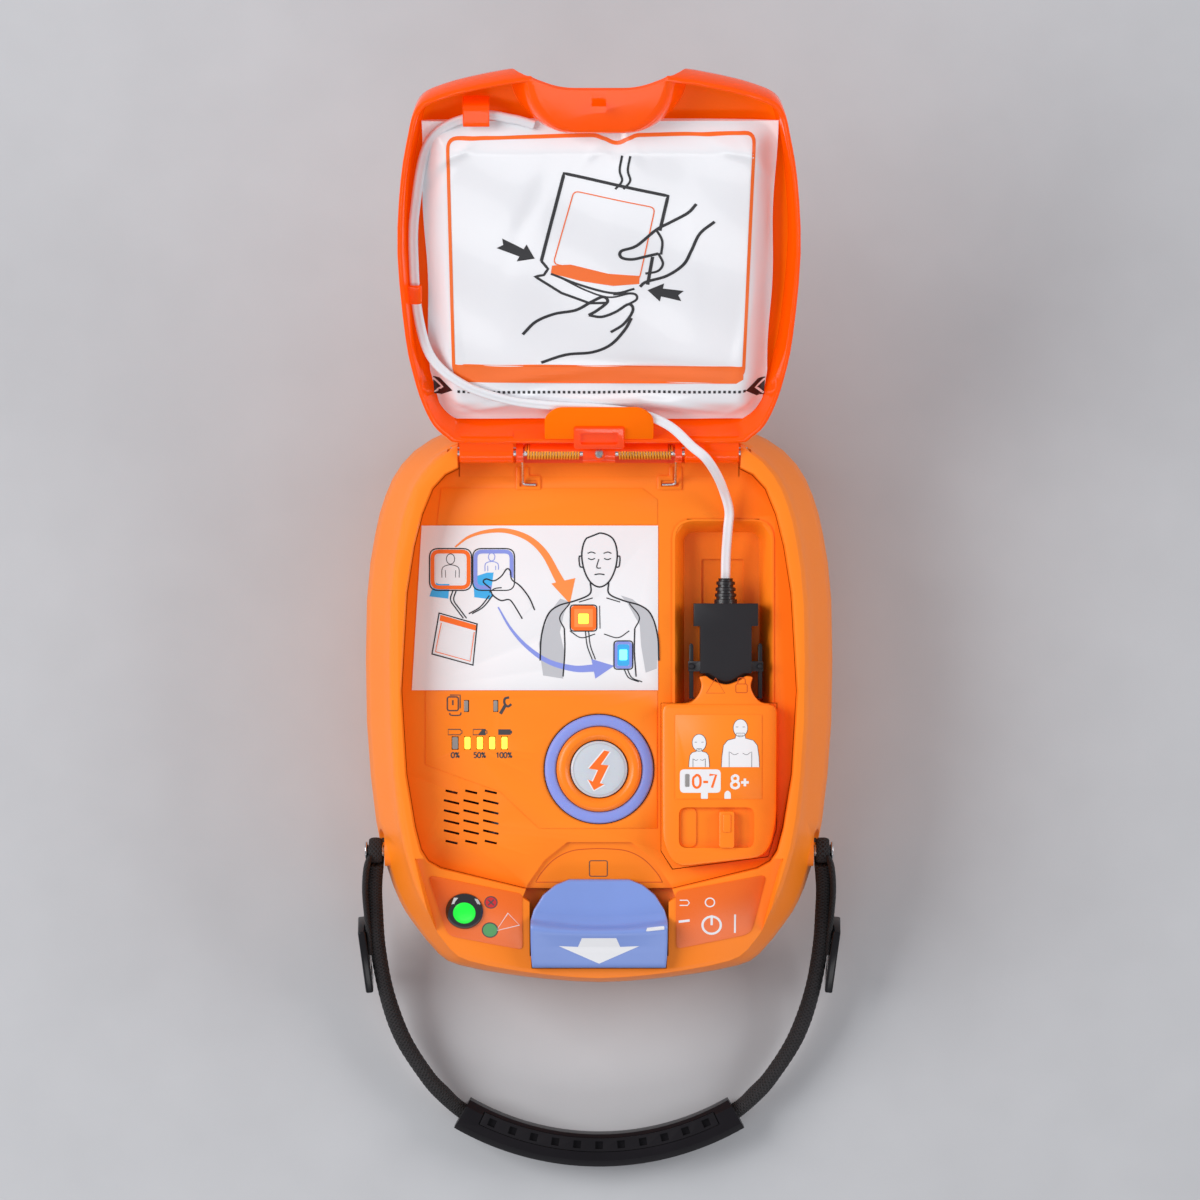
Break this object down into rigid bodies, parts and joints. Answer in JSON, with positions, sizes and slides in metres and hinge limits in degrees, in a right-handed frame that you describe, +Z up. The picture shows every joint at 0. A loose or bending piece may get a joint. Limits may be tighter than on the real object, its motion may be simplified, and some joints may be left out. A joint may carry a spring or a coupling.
{
  "type": "defibrillator",
  "caption": "Portable automatic defibrillator with hinged translucent lid, shock button, selector, pads pouch with lead and carry handle.",
  "frame": {"origin": "centre of the flat back that the case lies on, on the surface it rests on", "axes": "+Z up, away from the back; +Y towards the lid hinge; +X to the right of a person facing the controls"},
  "size_m": [0.216, 0.4733, 0.2035],
  "materials": {
    "case_plastic": "satin moulded orange plastic",
    "bezel_plastic": "satin orange plastic",
    "seal_rubber": "moulded silicone seal",
    "steel": "plain steel",
    "spring_steel": "drawn spring wire",
    "overlay_film": "printed overlay film",
    "white_film": "printed white film",
    "black_plastic": "fine-textured black plastic",
    "circuit_board": "solder mask",
    "blue_sleeve": "shrink sleeve",
    "winding": "taped winding",
    "ring_light": "translucent light guide",
    "button_plastic": "satin pale plastic",
    "clear_rubber": "silicone",
    "lens_plastic": "dark domed lens",
    "status_green": "green disc",
    "amber_light": "lit window",
    "light_window": "unlit window",
    "contact_metal": "gold-plated contact",
    "connector_plastic": "moulded black plastic",
    "lid_plastic": "translucent red-orange plastic",
    "retainer_plastic": "satin orange plastic",
    "lever_plastic": "satin blue plastic",
    "pouch_foil": "wrinkled heat-sealed film",
    "pad_foam": "foam-backed electrode",
    "lead_jacket": "flat twin lead",
    "webbing": "woven webbing",
    "slider_plastic": "moulded black plastic",
    "grip_rubber": "soft grained rubber",
    "insert_rubber": "perforated rubber insert",
    "battery_plastic": "black moulded case"
  },
  "bodies": {
    "base": {"rear_case": "case_plastic", "front_case": "case_plastic", "case_gasket": "seal_rubber", "case_screws": "steel", "control_deck": "case_plastic", "deck_overlay": "overlay_film", "instruction_label": "white_film", "speaker": "black_plastic", "main_board": "circuit_board", "shock_capacitor": "blue_sleeve", "charging_transformer": "winding", "shock_ring": "ring_light", "shock_bezel": "bezel_plastic", "button_dome": "clear_rubber", "shock_switch": "black_plastic", "status_label": "overlay_film", "status_lens": "lens_plastic", "status_flag": "status_green", "power_label": "overlay_film", "battery_lights": "amber_light", "service_lights": "light_window", "pad_lights": "amber_light", "selector_block": "case_plastic", "age_label": "overlay_film", "age_lights": "light_window", "age_switch": "steel", "socket_pins": "contact_metal", "connector_body": "connector_plastic", "strain_relief": "connector_plastic", "hinge_pin": "steel", "spring_holder": "lid_plastic", "hinge_spring_left": "spring_steel", "hinge_spring_right": "spring_steel", "hinge_screw": "steel", "power_switch": "black_plastic", "lead_deck": "lead_jacket", "lug_pin_left": "steel", "lug_pin_right": "steel", "battery_contacts": "contact_metal"},
    "lid": {"lid_shell": "lid_plastic", "lead_retainer": "retainer_plastic", "lead_clips": "lid_plastic", "pouch_film": "pouch_foil", "pouch_back": "pouch_foil", "chest_pad": "pad_foam", "side_pad": "pad_foam", "lead_lid": "lead_jacket"},
    "button": {"shock_button": "button_plastic"},
    "lever": {"power_lever": "lever_plastic", "lever_bolt": "steel"},
    "selector": {"age_knob": "case_plastic"},
    "handle": {"strap_left": "webbing", "strap_right": "webbing", "slider_left": "slider_plastic", "slider_right": "slider_plastic", "grip": "grip_rubber", "grip_insert": "insert_rubber"},
    "battery": {"battery_pack": "battery_plastic"},
    "latch_left": {"connector_latch_left": "connector_plastic"},
    "latch_right": {"connector_latch_right": "connector_plastic"}
  },
  "joints": [
    {"name": "lid_hinge", "type": "hinge", "parent": "base", "child": "lid", "pos_m": [0, 0.1084, 0.085], "axis": [1, 0, 0], "range_deg": [0, 144], "deforming": ["lead_deck", "lead_lid"]},
    {"name": "shock_press", "type": "slide", "parent": "base", "child": "button", "axis": [0, 0, -1], "range_m": [0, 0.002], "stiffness_N_per_m": 1500, "springref_m": -0.0005, "deforming": ["button_dome"]},
    {"name": "lever_slide", "type": "slide", "parent": "base", "child": "lever", "axis": [0, 1, 0], "range_m": [0, 0.0085]},
    {"name": "age_slide", "type": "slide", "parent": "base", "child": "selector", "axis": [-1, 0, 0], "range_m": [0, 0.01]},
    {"name": "handle_swing", "type": "hinge", "parent": "base", "child": "handle", "pos_m": [0, -0.0666, 0.049], "axis": [-1, 0, 0], "range_deg": [0, 110]},
    {"name": "battery_slide", "type": "slide", "parent": "base", "child": "battery", "axis": [0, 1, 0], "range_m": [0, 0.065]},
    {"name": "latch_left_turn", "type": "hinge", "parent": "base", "child": "latch_left", "pos_m": [0.0404, 0.015, 0.069], "axis": [0, 0, 1], "range_deg": [-5, 0], "stiffness_Nm_per_rad": 0.05},
    {"name": "latch_right_turn", "type": "hinge", "parent": "base", "child": "latch_right", "pos_m": [0.0704, 0.015, 0.069], "axis": [0, 0, 1], "range_deg": [0, 5], "stiffness_Nm_per_rad": 0.05}
  ],
  "couplings": [
    {"joint": "latch_right_turn", "follows": "latch_left_turn", "ratio": -1}
  ]
}
